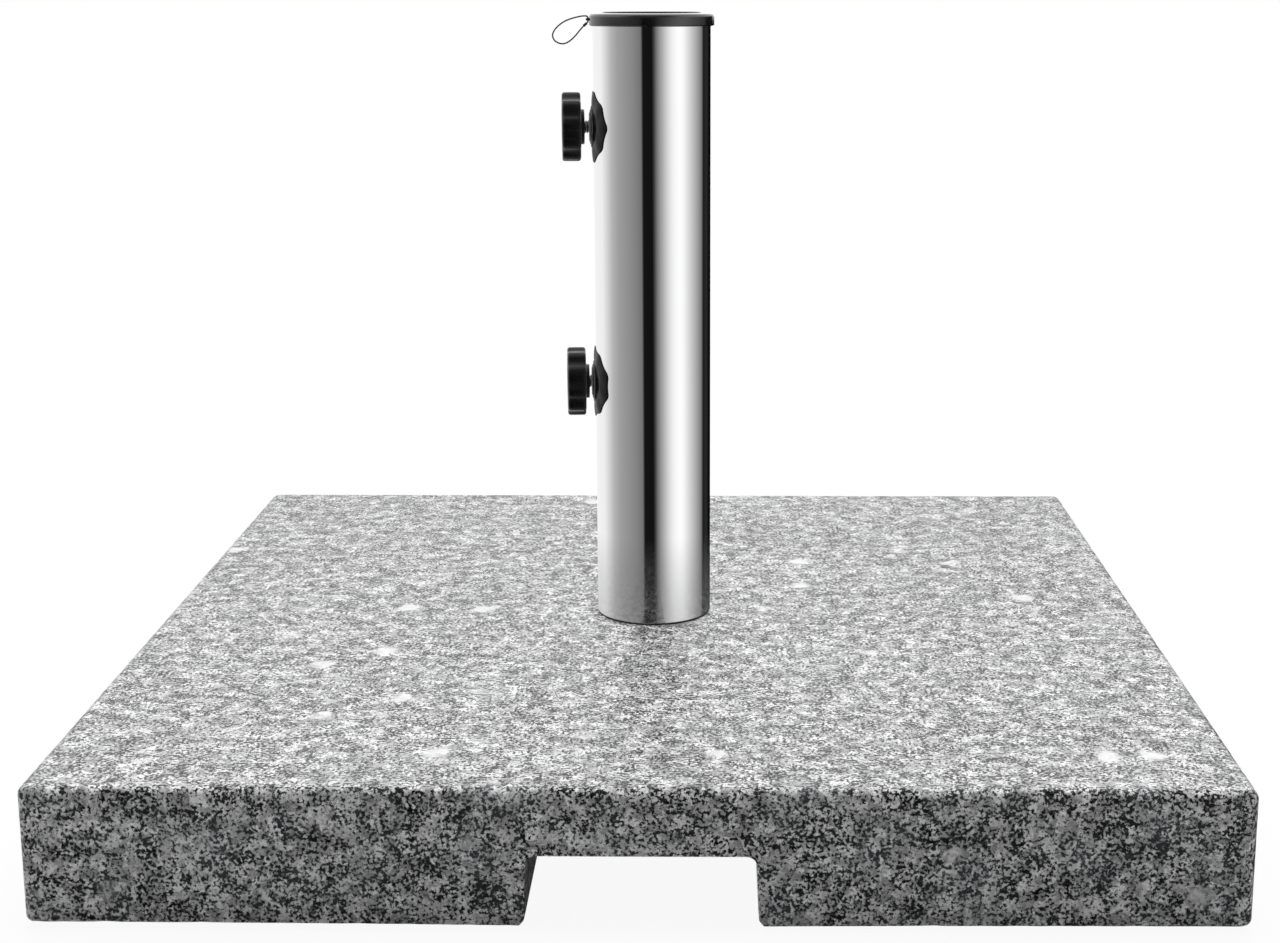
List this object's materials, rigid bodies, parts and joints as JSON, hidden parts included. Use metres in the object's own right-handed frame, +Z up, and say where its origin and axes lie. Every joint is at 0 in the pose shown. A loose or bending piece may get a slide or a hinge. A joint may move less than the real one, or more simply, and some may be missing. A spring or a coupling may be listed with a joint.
{
  "type": "parasol base",
  "caption": "Square granite parasol base with a polished steel socket tube, clamping screws and a removable reducer collar.",
  "frame": {"origin": "on the floor, under the middle of the slab", "axes": "+Z up along the socket tube, -Y towards the front, both knobs on the -X side and turned 5 degrees towards the front, channel under the slab along Y"},
  "size_m": [0.45, 0.45, 0.3275],
  "materials": {
    "granite": "honed top, sawn and lightly polished edges, grey and white grains with black mica",
    "polished_steel": "mirror-polished stainless steel",
    "plain_steel": "turned, unpolished stainless steel",
    "zinc_steel": "bright zinc plated",
    "black_steel": "black oxide steel",
    "black_plastic": "satin black injection moulding",
    "nylon": "fine matt nylon",
    "rubber": "matt black",
    "cord": "thin black braided cord"
  },
  "bodies": {
    "base": {"granite_slab": "granite", "floor_glides": "rubber", "socket_tube": "polished_steel", "tube_gasket": "rubber", "tube_foot_disc": "plain_steel", "fixing_bolt": "zinc_steel", "spring_washer": "zinc_steel", "bearing_washer": "zinc_steel", "upper_saddle": "black_plastic", "lower_saddle": "black_plastic", "upper_thread_bush": "plain_steel", "lower_thread_bush": "plain_steel"},
    "collar": {"reducer_collar": "black_plastic"},
    "cord": {"pull_cord": "cord", "cord_crimp": "black_plastic"},
    "upper_pad": {"upper_pressure_pad": "nylon"},
    "upper_handle": {"upper_screw": "black_steel", "upper_knob": "black_plastic"},
    "lower_pad": {"lower_pressure_pad": "nylon"},
    "lower_handle": {"lower_screw": "black_steel", "lower_knob": "black_plastic"}
  },
  "joints": [
    {"name": "collar_lift", "type": "slide", "parent": "base", "child": "collar", "axis": [0, 0, 1], "range_m": [0, 0.06]},
    {"name": "cord_swing", "type": "hinge", "parent": "collar", "child": "cord", "pos_m": [-0.02784, -0.00244, 0.3246], "axis": [0, 0, 1], "range_deg": [-45, 45]},
    {"name": "upper_press", "type": "slide", "parent": "base", "child": "upper_pad", "axis": [0.9962, 0.0872, 0], "range_m": [-0.0008, 0.00205]},
    {"name": "upper_turn", "type": "hinge", "parent": "upper_pad", "child": "upper_handle", "pos_m": [-0.02989, -0.00262, 0.2777], "axis": [0.9962, 0.0872, 0], "range_deg": [-289, 739]},
    {"name": "lower_press", "type": "slide", "parent": "base", "child": "lower_pad", "axis": [0.9962, 0.0872, 0], "range_m": [-0.0018, 0.001]},
    {"name": "lower_turn", "type": "hinge", "parent": "lower_pad", "child": "lower_handle", "pos_m": [-0.02989, -0.00262, 0.1632], "axis": [0.9962, 0.0872, 0], "range_deg": [-649, 361]}
  ],
  "couplings": [
    {"joint": "upper_turn", "follows": "upper_press", "rad_per_m": 6283.2},
    {"joint": "lower_turn", "follows": "lower_press", "rad_per_m": 6283.2}
  ]
}
